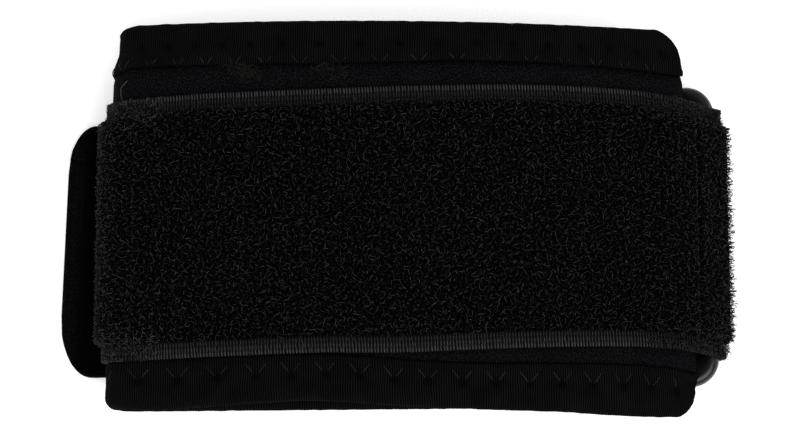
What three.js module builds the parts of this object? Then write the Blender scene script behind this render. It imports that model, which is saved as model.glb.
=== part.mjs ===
// Tennis elbow strap, fastened into a loop and lying on a table.
// Millimetres, +Z up. +X runs along the flattened loop towards the ring, +Y along the forearm.
// The origin is at the middle of the part's footprint, on the table.
import * as THREE from "three";

// Driving dimensions
const clearance = 0.3; // between pieces that touch on the real object

const bandMargin = 3.7; // bare sleeve between the width of the strap and each binding
const bandWall = 3; // foam with a knit face on both sides
const foldRadius = 5.5; // outer face of the sleeve round its closed side
const foldFlat = 1; // short straight on each side of the fold
const foldRise = 14; // degrees that the front leaves the fold at
const foldTuck = 1; // the upper binding draws the fold in
const crownRadius = 200; // the slightly arched front
const frontLength = 100.9; // along the arched front
const curlRadius = 14; // the free end of the front turns down towards the ring
const curlTurn = 24; // degrees
const endSlant = 0.027; // the free end isn't cut quite square
const bandSkew = -0.011; // the sleeve's front lies slightly turned on the table
const backSkew = 0.01; // and its back is turned the other way
const bandLean = -0.06; // and its front lies a little lower than its back, per mm of height
const endFlare = 0.6; // the front widens on each side towards its free end
const endDrop = 0.35; // and drifts towards the lower edge
const cornerReach = 5; // rounding of the corners at the free end of the front

const bindingReach = 8.3; // visible width of the edge binding on each face
const bindingTape = 1; // thickness of the binding tape
const bindingProud = 0.55; // how far the binding stands over the foam's face

const strapWidth = 50;
const strapBacking = 0.9; // woven ground of the strap
const pileHeight = 1.5; // brushed loops on the outer side of the strap
const pressedPile = 0.1; // what is left of it under the hook patch
const selvedge = 3.2; // bare woven border on each side of the pile
const pileShoulder = 1.2; // rounding of the pile's edges
const strapBeside = 1.8; // between the strap's lower edge and the lower binding, at the ring
const strapSkew = 0.007; // sideways drift of the strap from the ring to the fold, per mm
const tailSkew = 0.023; // the same for the tail
const neckLength = 6.8; // from the front's free end to the ring
const neckDraw = 0.7; // the ring draws the strap in on each side
const neckShift = -0.4; // and towards the lower edge
const neckFull = 4; // fully drawn in this near to the middle of the ring loop
const neckSpan = 16; // and not at all from here on
const creaseDepth = 0.8; // the seam that closes the ring loop presses the pile down
const creaseWidth = 1.2;
const returnLength = 5.5; // the strap's sewn end under the front's free end

const tipReach = 11.2; // how far the tail sticks out past the fold
const tipDepth = 5; // the rounded corners of the tail, along the strap
const tipSpread = 9.5; // and across it
const tipSlant = 0.025; // the tail's end isn't cut quite square
const tabLength = 30; // hook patch on the tail
const descentAngle = 35; // degrees, the strap's slope from the ring down to the back
const descentRadius = 4;

const ringRoom = 1.8; // the ring's opening is this much longer than the strap is wide
const ringBar = 3.5;
const ringSide = -0.6; // the ring hangs a little to the strap's lower side
const ringPitch = 16.5; // between the middles of the two long bars
const ringCorner = 5.5; // outer corner radius
const ringRounding = 1.5; // of the bars' edges

const liftHeight = 1.2; // the front's lower edge stands up a little beside the fold
const liftInset = 1.1; // and draws in
const liftBefore = 22; // how far that stretch reaches towards the fold
const liftAfter = 13; // and towards the ring
const liftPlace = 0.34; // its middle, as a share of the front's length

const longestStep = 6.5; // between two stations of a course
const arcStep = 15; // degrees between two stations of an arc

// Sizes that follow
const bandWidth = strapWidth + 2 * (bandMargin + bindingReach); // over the bindings
const strapOffset = strapBeside - bandMargin; // the strap's middle at the ring
const ringAcross = strapWidth + ringRoom + 2 * ringBar; // outer size along Y
const strapThickness = strapBacking + pileHeight;
const barRadius = ringBar / 2;
const wrapRadius = barRadius + clearance; // inner face of the strap round a bar
const backZ = 2 * (strapThickness + clearance); // outer face of the sleeve's back
const strapBackZ = backZ - clearance; // woven face of the strap under the back
const leftBarZ = strapThickness + wrapRadius;
const toRadians = THREE.MathUtils.degToRad;

// A course is a run of straights and arcs in the X-Z plane, cut into stations.
// Each station holds its place, its heading and its distance from the start.
class Course {
  constructor(x, z, heading) {
    this.stations = [{ x, z, heading: toRadians(heading), along: 0 }];
  }

  get last() {
    return this.stations[this.stations.length - 1];
  }

  straight(length, step = longestStep) {
    const { x, z, heading, along } = this.last;
    const parts = Math.max(1, Math.ceil(length / step));
    for (let i = 1; i <= parts; i++) {
      const run = (length * i) / parts;
      this.stations.push({
        x: x + run * Math.cos(heading),
        z: z + run * Math.sin(heading),
        heading,
        along: along + run,
      });
    }
    return this;
  }

  // A positive turn bends to the left of the heading.
  arc(radius, turn, step = longestStep) {
    const { x, z, heading, along } = this.last;
    const angle = toRadians(turn);
    const side = Math.sign(turn);
    const length = radius * Math.abs(angle);
    const parts = Math.max(2, Math.ceil(Math.abs(turn) / arcStep), Math.ceil(length / step));
    for (let i = 1; i <= parts; i++) {
      const next = heading + (angle * i) / parts;
      this.stations.push({
        x: x + side * radius * (Math.sin(next) - Math.sin(heading)),
        z: z - side * radius * (Math.cos(next) - Math.cos(heading)),
        heading: next,
        along: along + (length * i) / parts,
      });
    }
    return this;
  }

  // The place at a height over the last station, to the left of the heading.
  beside(height) {
    const { x, z, heading } = this.last;
    return { x: x - height * Math.sin(heading), z: z + height * Math.cos(heading) };
  }
}

// The front of the loop, from the top of the fold to the ring, at a height over the sleeve's face.
const frontTurn = THREE.MathUtils.radToDeg(frontLength / crownRadius);
function layFront(course, height) {
  return course
    .straight(foldFlat)
    .arc(foldRadius + height, -(180 - foldRise))
    .straight(foldFlat)
    .arc(crownRadius + height, -frontTurn)
    .arc(curlRadius + height, -curlTurn, 2);
}

// The fold's axis is at X = 0 while the course is laid out, and the ring is found from its end.
const neck = layFront(new Course(0, strapBackZ, 180), clearance).straight(neckLength);
const rightBar = neck.beside(-wrapRadius);
const barRun = Math.sqrt(ringPitch ** 2 - (rightBar.z - leftBarZ) ** 2);
const leftBar = { x: rightBar.x - barRun, z: leftBarZ };
const tipX = -(foldRadius + tipReach);
const farX = rightBar.x + wrapRadius + strapThickness;
const middleX = (tipX + farX) / 2;

// The strap comes down from the ring's left bar to the back in an S of two arcs and a straight.
const leftWrap = wrapRadius + strapThickness;
const descent = toRadians(descentAngle);
const descentDrop = leftBar.z + leftWrap - strapBackZ;
const bentDrop = (leftWrap + descentRadius) * (1 - Math.cos(descent));
const slopeLength = (descentDrop - bentDrop) / Math.sin(descent);
const descentRun =
  (leftWrap + descentRadius) * Math.sin(descent) + slopeLength * Math.cos(descent);
const backEndX = leftBar.x - descentRun;

// The strap's whole course, woven face to the right: tail, left bar, back, fold, front, right bar.
const strapCourse = new Course(tipX, 0, 0).straight(tipDepth, tipDepth / 6);
strapCourse.straight(tabLength - tipDepth);
const tabEnd = strapCourse.last.along;
strapCourse
  .straight(2 * clearance)
  .straight(leftBar.x - tipX - tabLength - 2 * clearance);
const tailEnd = strapCourse.last.along + leftWrap;
strapCourse
  .arc(leftWrap, 180 + descentAngle)
  .straight(slopeLength)
  .arc(descentRadius, -descentAngle)
  .straight(backEndX);
layFront(strapCourse, clearance);
const neckStart = strapCourse.last.along;
strapCourse.straight(creaseWidth, creaseWidth / 4).straight(neckLength - creaseWidth);
const loopMiddle = strapCourse.last.along + (Math.PI * wrapRadius) / 2;
strapCourse
  .arc(wrapRadius, -180)
  .straight(neckLength)
  .arc(curlRadius + clearance - 2 * wrapRadius,
    THREE.MathUtils.radToDeg(returnLength / (curlRadius + clearance)));

// The sleeve's course follows the same back, fold and front on its own outer face.
const sleeveCourse = new Course(backEndX - clearance, backZ, 180).straight(backEndX - clearance);
layFront(sleeveCourse, 0);
const frontStart = sleeveCourse.last.along - frontLength;
const sleeveEnd = sleeveCourse.last.along;

// 0 below the first value, 1 above the second, smooth between.
const ease = (value, from, to) => THREE.MathUtils.smoothstep(value, from, to);

// The front's lower edge stands up and draws in over one stretch; the back stays flat.
// The fold is drawn in beside the upper binding.
const frontFloor = backZ + foldRadius;
const liftX = frontLength * liftPlace;
const innerEdge = bandWidth / 2 - bindingReach;
function drape(x, y, z) {
  const onFront = ease(z, frontFloor, frontFloor + foldRadius);
  const nearEdge = ease(-y, 0, bandWidth / 2);
  const away = (x - liftX) / (x < liftX ? liftBefore : liftAfter);
  const amount = onFront * nearEdge * Math.exp(-away * away);
  const tucked = ease(y, innerEdge, bandWidth / 2 - bindingReach / 2) * (1 - ease(x, 0, 5 * foldRadius));
  return {
    x: x + foldTuck * tucked,
    y: y + liftInset * amount,
    z: z + liftHeight * amount,
  };
}

// How far a station of the front is on its way to the free end, from 0 to 1.
const towardsEnd = (station) => ease(station.along, frontStart, sleeveEnd);

function bandDrift(x, z, station) {
  const onFront = ease(z, backZ, backZ + 2 * foldRadius);
  const skew = THREE.MathUtils.lerp(backSkew, bandSkew, onFront);
  return skew * (x - middleX) + bandLean * (z - frontFloor) - endDrop * towardsEnd(station);
}

// The strap wanders sideways from the ring to the fold, and its tail a little more.
function strapDrift(x, z, station) {
  const slope = station.along < tailEnd ? tailSkew : strapSkew;
  return strapOffset - slope * Math.max(0, leftBar.x - x);
}

// A strip is extruded flat, with one layer for each station, and its layers are then set on the
// stations: the section's x runs across the strip and its y stands up from the course.
function strip(section, stations, shape, drift) {
  const geometry = new THREE.ExtrudeGeometry(section, {
    depth: stations.length - 1,
    steps: stations.length - 1,
    curveSegments: 6,
    bevelEnabled: false,
  });
  const position = geometry.getAttribute("position");
  for (let i = 0; i < position.count; i++) {
    const station = stations[Math.round(position.getZ(i))];
    const { across, up, slide = 0 } = shape(position.getX(i), position.getY(i), station);
    const sine = Math.sin(station.heading);
    const cosine = Math.cos(station.heading);
    const x = station.x + slide * cosine - up * sine;
    const z = station.z + slide * sine + up * cosine;
    const set = drape(x, across + drift(x, z, station), z);
    position.setXYZ(i, set.x - middleX, set.y, set.z);
  }
  geometry.deleteAttribute("normal");
  geometry.deleteAttribute("uv");
  return geometry;
}

function outline(points) {
  return new THREE.Shape(points.map(([across, up]) => new THREE.Vector2(across, up)));
}

// Mirrors the right half of a section, listed from its top to its bottom, to the left.
function mirrored(half) {
  return outline([...half, ...half.map(([across, up]) => [-across, up]).reverse()]);
}

// The front widens towards its free end, which is slanted, and its corners are quarter circles:
// the bindings narrow towards it.
function roundCorners(across, up, station) {
  const slide = -endSlant * across * towardsEnd(station);
  const left = Math.max(0, cornerReach - (sleeveEnd - station.along));
  const inset = cornerReach - Math.sqrt(cornerReach ** 2 - left ** 2);
  const share = Math.max(0, Math.abs(across) - innerEdge) / bindingReach;
  const widened = across * (1 + (endFlare / (bandWidth / 2)) * towardsEnd(station));
  return { across: widened - Math.sign(across) * inset * share, up, slide };
}

// The free end gets close stations where its corners are rounded.
function closeStations(course) {
  const stations = course.stations;
  const refined = [stations[0]];
  for (let i = 1; i < stations.length; i++) {
    const from = stations[i - 1];
    const to = stations[i];
    const parts = to.along > sleeveEnd - cornerReach ? 3 : 1;
    for (let k = 1; k <= parts; k++) {
      const share = k / parts;
      const mix = (key) => THREE.MathUtils.lerp(from[key], to[key], share);
      refined.push({ x: mix("x"), z: mix("z"), heading: mix("heading"), along: mix("along") });
    }
  }
  return refined;
}
const sleeveStations = closeStations(sleeveCourse);

// Sleeve: full foam between the bindings, pressed to a thin tongue inside them.
function sleeveGeometry() {
  const body = innerEdge - clearance;
  const tongue = bandWidth / 2 - bindingTape - clearance;
  const pressed = bindingTape - bindingProud + clearance;
  const section = mirrored([
    [body, 0],
    [body, -pressed],
    [tongue, -pressed],
    [tongue, pressed - bandWall],
    [body, pressed - bandWall],
    [body, -bandWall],
  ]);
  return strip(section, sleeveStations, roundCorners, bandDrift);
}

// Binding: a tape folded round the sleeve's edge, round on the outside; side is 1 or -1.
function bindingGeometry(side) {
  const edge = bandWidth / 2;
  const inner = innerEdge;
  const roll = bandWall / 2 + bindingProud;
  const middle = -bandWall / 2;
  const hollow = roll - bindingTape;
  const section = new THREE.Shape();
  section.moveTo(side * inner, middle + roll);
  section.lineTo(side * (edge - roll), middle + roll);
  if (side > 0) section.absarc(edge - roll, middle, roll, Math.PI / 2, -Math.PI / 2, true);
  else section.absarc(roll - edge, middle, roll, Math.PI / 2, (3 * Math.PI) / 2, false);
  section.lineTo(side * inner, middle - roll);
  section.lineTo(side * inner, middle - hollow);
  section.lineTo(side * (edge - bindingTape), middle - hollow);
  section.lineTo(side * (edge - bindingTape), middle + hollow);
  section.lineTo(side * inner, middle + hollow);
  return strip(section, sleeveStations, roundCorners, bandDrift);
}

// The tail's corners are quarter ellipses: how far its side is drawn in at a distance from the tip.
function tipInset(along) {
  const left = Math.max(0, 1 - along / tipDepth);
  return tipSpread * (1 - Math.sqrt(1 - left * left));
}

function drawIn(across, along) {
  const inset = tipInset(along);
  return across * (1 - inset / (strapWidth / 2));
}

// The tail's end is slanted, and the slant dies out along the hook patch.
const tipSlide = (across, along) => tipSlant * across * (1 - ease(along, 0, tabLength));

// The ring draws the strap in and aside round the middle of its loop.
function neckIn(across, along) {
  const near = 1 - ease(Math.abs(along - loopMiddle), neckFull, neckSpan);
  return across * (1 - (neckDraw / (strapWidth / 2)) * near) + neckShift * near;
}

// Strap: woven ground with a raised pile between two bare selvedges.
function strapGeometry() {
  const half = strapWidth / 2;
  const pile = half - selvedge;
  const shoulder = (share) => [
    pile - pileShoulder * (1 - Math.sqrt(1 - share * share)) - 0.05 * share,
    strapBacking + pileHeight * share,
  ];
  const section = mirrored([
    shoulder(1),
    shoulder(0.9),
    shoulder(0.6),
    [pile, strapBacking],
    [half, strapBacking],
    [half, 0],
  ]);
  const shape = (across, up, station) => {
    const { along } = station;
    const pressed = up > strapBacking && along < tabEnd + clearance;
    const crease = Math.abs(along - neckStart - creaseWidth / 2) < 0.3 * creaseWidth;
    const lowered = crease && up > strapBacking + creaseDepth / 2 ? creaseDepth : 0;
    return {
      across: neckIn(drawIn(across, along), along),
      up: pressed
        ? strapBacking + (up - strapBacking) * (pressedPile / pileHeight)
        : up - lowered * ease(up, strapBacking, strapThickness),
      slide: tipSlide(across, along),
    };
  };
  return strip(section, strapCourse.stations, shape, strapDrift);
}

// Hook patch: a thin plate on the tail, flush with the pile, with the tail's rounded end.
function hookTabGeometry() {
  const half = strapWidth / 2 - clearance;
  const section = mirrored([
    [half, strapThickness],
    [half, strapBacking + pressedPile + clearance],
  ]);
  const start = clearance;
  const course = new Course(tipX + start, 0, 0)
    .straight(tipDepth - start, tipDepth / 6)
    .straight(tabLength - tipDepth);
  const shape = (across, up, station) => ({
    across: drawIn(across, station.along + start),
    up,
    slide: tipSlide(across, station.along + start),
  });
  return strip(section, course.stations, shape, strapDrift);
}

// A rectangle with rounded corners, centred, as a path.
function roundedRectangle(path, width, height, radius) {
  const right = width / 2 - radius;
  const top = height / 2 - radius;
  path.moveTo(right + radius, -top);
  path.absarc(right, top, radius, 0, Math.PI / 2, false);
  path.absarc(-right, top, radius, Math.PI / 2, Math.PI, false);
  path.absarc(-right, -top, radius, Math.PI, 1.5 * Math.PI, false);
  path.absarc(right, -top, radius, 1.5 * Math.PI, 2 * Math.PI, false);
  return path;
}

// Ring: a rectangular frame with rounded bars; the strap runs round both of its long bars.
function ringGeometry() {
  const width = ringPitch + ringBar;
  const shape = roundedRectangle(new THREE.Shape(), width, ringAcross, ringCorner);
  shape.holes.push(roundedRectangle(new THREE.Path(), width - 2 * ringBar,
    ringAcross - 2 * ringBar, ringCorner - ringBar));
  const geometry = new THREE.ExtrudeGeometry(shape, {
    depth: ringBar - 2 * ringRounding,
    bevelThickness: ringRounding,
    bevelSize: ringRounding,
    bevelOffset: -ringRounding,
    bevelSegments: 4,
    curveSegments: 6,
  });
  geometry.translate(0, 0, ringRounding - ringBar / 2);
  return geometry;
}

const group = new THREE.Group();

function add(name, geometry, color, roughness) {
  const material = new THREE.MeshStandardMaterial({ color, roughness, metalness: 0 });
  const mesh = new THREE.Mesh(geometry, material);
  mesh.name = name;
  group.add(mesh);
  return mesh;
}

add("sleeve", sleeveGeometry(), 0x0d0d10, 0.9);
add("upper_binding", bindingGeometry(1), 0x0e0d0d, 0.95);
add("lower_binding", bindingGeometry(-1), 0x0e0d0d, 0.95);
add("strap", strapGeometry(), 0x0c0b0d, 1);
add("hook_tab", hookTabGeometry(), 0x08080a, 0.8);

const ring = add("ring", ringGeometry(), 0x1a1817, 0.35);
ring.rotation.y = -Math.asin((rightBar.z - leftBar.z) / ringPitch);
ring.position.set(
  (leftBar.x + rightBar.x) / 2 - middleX,
  strapOffset + ringSide,
  (leftBar.z + rightBar.z) / 2,
);

// The origin goes under the middle of the whole part.
const box = new THREE.Box3().setFromObject(group, true);
const footing = new THREE.Vector3(
  (box.min.x + box.max.x) / 2,
  (box.min.y + box.max.y) / 2,
  box.min.z,
);
for (const mesh of group.children) mesh.position.sub(footing);

export default group;
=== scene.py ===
"""Looks of a tennis elbow strap, fastened into a loop and lying flat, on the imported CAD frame.

Shapes are worked out in millimetres in the frame of the CAD model and written to the meshes in metres.
"""
from functools import partial

import bpy
import numpy as np
from bpy.props import FloatProperty, FloatVectorProperty, IntProperty, PointerProperty
from bpy.types import Operator, Panel, PropertyGroup
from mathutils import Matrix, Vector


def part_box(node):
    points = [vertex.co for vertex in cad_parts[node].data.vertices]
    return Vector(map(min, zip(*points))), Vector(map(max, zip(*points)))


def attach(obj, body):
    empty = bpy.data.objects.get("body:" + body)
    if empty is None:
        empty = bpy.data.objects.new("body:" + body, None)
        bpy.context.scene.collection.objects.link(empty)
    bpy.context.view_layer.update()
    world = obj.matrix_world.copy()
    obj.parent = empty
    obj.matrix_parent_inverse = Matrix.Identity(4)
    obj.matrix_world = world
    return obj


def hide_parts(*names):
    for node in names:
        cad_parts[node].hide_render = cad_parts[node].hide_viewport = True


bl_info = {
    "name": "Tennis elbow strap", "version": (1, 0, 0), "blender": (4, 5, 0),
    "location": "3D View > Sidebar > Elbow strap",
    "description": "Cloth, pile, stitches and moulded ring of a tennis elbow strap", "category": "Object"
}

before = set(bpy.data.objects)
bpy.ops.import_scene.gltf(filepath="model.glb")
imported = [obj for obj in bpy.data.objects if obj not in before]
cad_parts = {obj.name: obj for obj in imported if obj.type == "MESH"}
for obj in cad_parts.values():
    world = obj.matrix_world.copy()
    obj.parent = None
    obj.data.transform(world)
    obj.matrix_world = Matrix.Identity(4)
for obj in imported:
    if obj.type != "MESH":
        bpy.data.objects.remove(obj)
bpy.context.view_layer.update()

MM = 0.001

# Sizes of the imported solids, in millimetres and degrees.
CLEARANCE = 0.3
BAND_WIDTH = 74.0
BAND_WALL = 3.0
FOLD_RADIUS = 5.5
FOLD_FLAT = 1.0
FOLD_RISE = 14.0
FOLD_TUCK = 1.0
CROWN_RADIUS = 200.0
FRONT_LENGTH = 100.9
CURL_RADIUS = 14.0
CURL_TURN = 24.0
END_SLANT = 0.027
BAND_SKEW = -0.011
BACK_SKEW = 0.01
BAND_LEAN = -0.06
END_FLARE = 0.6
END_DROP = 0.35
CORNER_REACH = 5.0
BINDING_REACH = 8.3
BINDING_TAPE = 1.0
BINDING_PROUD = 0.55
STRAP_WIDTH = 50.0
STRAP_BACKING = 0.9
PILE_HEIGHT = 1.5
SELVEDGE = 3.2
PILE_SHOULDER = 1.2
STRAP_OFFSET = -1.9
STRAP_SKEW = 0.007
TAIL_SKEW = 0.023
NECK_LENGTH = 6.8
NECK_DRAW = 0.7
NECK_SHIFT = -0.4
NECK_FULL = 4.0
NECK_SPAN = 16.0
CREASE_DEPTH = 0.8
CREASE_WIDTH = 1.2
RETURN_LENGTH = 5.5
TIP_REACH = 11.2
TIP_DEPTH = 5.0
TIP_SPREAD = 9.5
WORN_DEPTH = 6.5
WORN_SPREAD = 12.0
LOWER_CORNER = 3.5
TIP_SLANT = 0.025
TAB_LENGTH = 30.0
DESCENT_ANGLE = 35.0
DESCENT_RADIUS = 4.0
RING_ACROSS = 58.8
RING_BAR = 3.5
RING_Y = -2.5
RING_PITCH = 16.5
RING_CORNER = 5.5
RING_ROUNDING = 1.5
LIFT_HEIGHT = 1.2
LIFT_INSET = 1.1
LIFT_BEFORE = 22.0
LIFT_AFTER = 13.0
LIFT_PLACE = 0.34

# Sizes that stand in this script alone: half thicknesses of the thin yarns and the hooks, the curve of a
# hook, the two snags' places from the start of the arched front, and how much wider the ring's bar is
# inwards on its short sides, as a share.
WEFT_RADIUS = 0.15
SEAM_RADIUS = 0.14
STRAY_RADIUS = 0.07
SNAG_RADIUS = 0.055
FRAY_RADIUS = 0.05
HOOK_RADIUS = 0.09
HOOK_CURVE = 0.24
SEAM_PITCH = 2.4
SNAG_PLACES = (20.6, 37.6)
RING_WIDER = 1.8

STRAP_THICKNESS = STRAP_BACKING + PILE_HEIGHT
WRAP_RADIUS = RING_BAR / 2 + CLEARANCE
BACK_Z = 2 * (STRAP_THICKNESS + CLEARANCE)
STRAP_BACK_Z = BACK_Z - CLEARANCE
FRONT_FLOOR = BACK_Z + FOLD_RADIUS
HALF_BAND = BAND_WIDTH / 2
HALF_STRAP = STRAP_WIDTH / 2
HALF_PILE = HALF_STRAP - SELVEDGE
INNER_EDGE = HALF_BAND - BINDING_REACH

# Where the cloth departs from its even cut, in millimetres. Run from the start of the arched front,
# distance of the binding's inner edge from the band's middle.
UPPER_INNER = np.array(
    [
        [-20, 28.7], [-8, 27.6], [-4.7, 27.6], [-1.7, 28.2], [3.4, 28.35], [32, 28.35], [51, 28.7],
        [60, 29.2], [78, 29.2], [90, 28.95], [98, 28.6], [107, 27.9]
    ]
)
LOWER_INNER = np.array(
    [
        [-20, 28.7], [0, 28.4], [46, 28.1], [68, 28.1], [78, 27.7], [87, 27.5], [95, 27.5], [101, 27.9],
        [105, 28.8]
    ]
)
# The same run, and how far the lower binding's outer edge is drawn in.
LOWER_OUTER = np.array(
    [
        [-30, 0.6], [-12, 0.6], [-5, 0], [3, -0.9], [20, -0.3], [32, 0.1], [40, 0.1], [55, 0.5],
        [80, 0.5], [92, 0.1], [107, 0]
    ]
)
# Place across the front's free end, and how far the end is drawn back there.
FREE_END_TRIM = np.array(
    [[-37, 0.7], [-31.6, 0.7], [-30.4, -0.6], [-26, -0.6], [0, 0.2], [26, 0.1], [31, 0.6], [37, 1.0]]
)
# Run from the start of the fold, shift of the strap's upper edge, shift of its lower edge.
STRAP_PULL = np.array(
    [
        [0, 0, 0], [10, -0.3, -0.2], [16.5, -0.5, -0.95], [25, -0.28, -1.0], [32, -0.09, -1.05],
        [41, -0.11, -1.33], [51, -0.05, -1.5], [60, 0.08, -1.4], [69, 0.36, -0.85], [79, 0.55, -0.17],
        [88, 0.77, 0.25], [98, 0.84, 0.66], [107, 0.73, 0.95], [115, 0.49, 1.09], [121, -0.1, 0.97],
        [125, -0.04, 0.6], [130, 0.09, 0.15], [134, 0.1, -0.1], [142, 0, 0]
    ]
)


def linear(hex_code):
    """An sRGB hex value as the linear red, green and blue that the shaders use."""
    part = np.array([int(hex_code[i : i + 2], 16) for i in (0, 2, 4)]) / 255
    low = part / 12.92
    high = ((part + 0.055) / 1.055) ** 2.4
    return tuple(float(v) for v in np.where(part <= 0.04045, low, high))


class Course:
    """A run of straights and arcs in the X-Z plane; a positive turn bends to the left.

    Along an arc of curvature k the heading grows by k times the run s, so x grows by
    (sin(end) - sin(start)) / k and z by (cos(start) - cos(end)) / k.
    """

    def __init__(self, x, z, heading):
        self.rows = []
        self.end = (x, z, np.radians(heading), 0.0)

    def lay(self, length, curvature):
        x, z, heading, along = self.end
        self.rows.append((along, x, z, heading, curvature))
        x, z, heading = (float(v[0]) for v in self.at(np.array([along + length])))
        self.end = (x, z, heading, along + length)
        return self

    def straight(self, length):
        return self.lay(length, 0.0)

    def arc(self, radius, turn):
        return self.lay(radius * np.radians(abs(turn)), np.sign(turn) / radius)

    def at(self, along):
        """Place and heading at each distance from the start."""
        rows = np.array(self.rows)
        row = np.clip(np.searchsorted(rows[:, 0], along, side="right") - 1, 0, len(rows) - 1)
        start, x, z, heading, curvature = (rows[row, i] for i in range(5))
        run = along - start
        bent = np.abs(curvature) > 0
        safe = np.where(bent, curvature, 1.0)
        turned = heading + curvature * run
        step_x = np.where(bent, (np.sin(turned) - np.sin(heading)) / safe, run * np.cos(heading))
        step_z = np.where(bent, (np.cos(heading) - np.cos(turned)) / safe, run * np.sin(heading))
        return x + step_x, z + step_z, turned

    @property
    def length(self):
        return self.end[3]


def lay_front(course, height):
    """The fold, the arched front and its curl down to the ring, at a height over the sleeve."""
    course.straight(FOLD_FLAT).arc(FOLD_RADIUS + height, FOLD_RISE - 180).straight(FOLD_FLAT)
    course.arc(CROWN_RADIUS + height, -np.degrees(FRONT_LENGTH / CROWN_RADIUS))
    return course.arc(CURL_RADIUS + height, -CURL_TURN)


def lay_all():
    """The courses of strap and sleeve, the bars' places and the distances that the looks need."""
    neck = lay_front(Course(0, STRAP_BACK_Z, 180), CLEARANCE).straight(NECK_LENGTH)
    x, z, heading, _ = neck.end
    right = (x + WRAP_RADIUS * np.sin(heading), z - WRAP_RADIUS * np.cos(heading))
    left_wrap = WRAP_RADIUS + STRAP_THICKNESS
    left_z = STRAP_THICKNESS + WRAP_RADIUS
    left = (right[0] - np.sqrt(RING_PITCH**2 - (right[1] - left_z) ** 2), left_z)
    angle = np.radians(DESCENT_ANGLE)
    bend = left_wrap + DESCENT_RADIUS
    slope = (left_z + left_wrap - STRAP_BACK_Z - bend * (1 - np.cos(angle))) / np.sin(angle)
    back_end = left[0] - bend * np.sin(angle) - slope * np.cos(angle)
    tip = -(FOLD_RADIUS + TIP_REACH)
    strap = Course(tip, 0, 0).straight(left[0] - tip)
    tail_end = strap.length + left_wrap
    strap.arc(left_wrap, 180 + DESCENT_ANGLE).straight(slope).arc(DESCENT_RADIUS, -DESCENT_ANGLE)
    strap.straight(back_end)
    fold_start = strap.length
    lay_front(strap, CLEARANCE)
    neck_start = strap.length
    strap.straight(NECK_LENGTH)
    wrap_start = strap.length
    strap.arc(WRAP_RADIUS, -180).straight(NECK_LENGTH)
    return_turn = np.degrees(RETURN_LENGTH / (CURL_RADIUS + CLEARANCE))
    strap.arc(CURL_RADIUS + CLEARANCE - 2 * WRAP_RADIUS, return_turn)
    sleeve = Course(back_end - CLEARANCE, BACK_Z, 180).straight(back_end - CLEARANCE)
    lay_front(sleeve, 0)
    curl = np.radians(CURL_TURN) * CURL_RADIUS
    return {
        "strap": strap, "sleeve": sleeve, "right": right, "left": left, "tip": tip, "tail_end": tail_end,
        "fold_start": fold_start, "neck_start": neck_start, "wrap_start": wrap_start,
        "loop_middle": wrap_start + np.pi * WRAP_RADIUS / 2,
        "front_start": sleeve.length - curl - FRONT_LENGTH, "slant_start": sleeve.length - FRONT_LENGTH,
        "far": right[0] + WRAP_RADIUS + STRAP_THICKNESS
    }


LAY = lay_all()
MIDDLE_X = (LAY["tip"] + LAY["far"]) / 2
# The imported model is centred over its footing: the ring gives the shift of the whole part.
RING_LOW, RING_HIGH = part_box("ring")
SHIFT_X = (RING_LOW.x + RING_HIGH.x) / 2 / MM - (LAY["left"][0] + LAY["right"][0]) / 2
SHIFT_Y = (RING_LOW.y + RING_HIGH.y) / 2 / MM - RING_Y


def ease(value, start, stop):
    """0 below start, 1 above stop, and 3t^2 - 2t^3 between them."""
    t = np.clip((value - start) / (stop - start), 0, 1)
    return t * t * (3 - 2 * t)


def place(course, along, across, up, drift, slide=0.0):
    """Points at distances along a course, across it and up from it, drifted and draped.

    The front's lower edge is raised and drawn in by a bell of the distance from its middle, and
    the upper binding draws the fold in.
    """
    x, z, heading = course.at(along)
    px = x + slide * np.cos(heading) - up * np.sin(heading)
    pz = z + slide * np.sin(heading) + up * np.cos(heading)
    py = across + drift(px, pz, along)
    away = px - FRONT_LENGTH * LIFT_PLACE
    bell = np.exp(-((away / np.where(away < 0, LIFT_BEFORE, LIFT_AFTER)) ** 2))
    amount = ease(pz, FRONT_FLOOR, FRONT_FLOOR + FOLD_RADIUS) * ease(-py, 0, HALF_BAND) * bell
    tucked = ease(py, INNER_EDGE, HALF_BAND - BINDING_REACH / 2) * (1 - ease(px, 0, 5 * FOLD_RADIUS))
    px = px + SHIFT_X + FOLD_TUCK * tucked
    return np.stack([px, py + SHIFT_Y + LIFT_INSET * amount, pz + LIFT_HEIGHT * amount], axis=-1)


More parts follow.
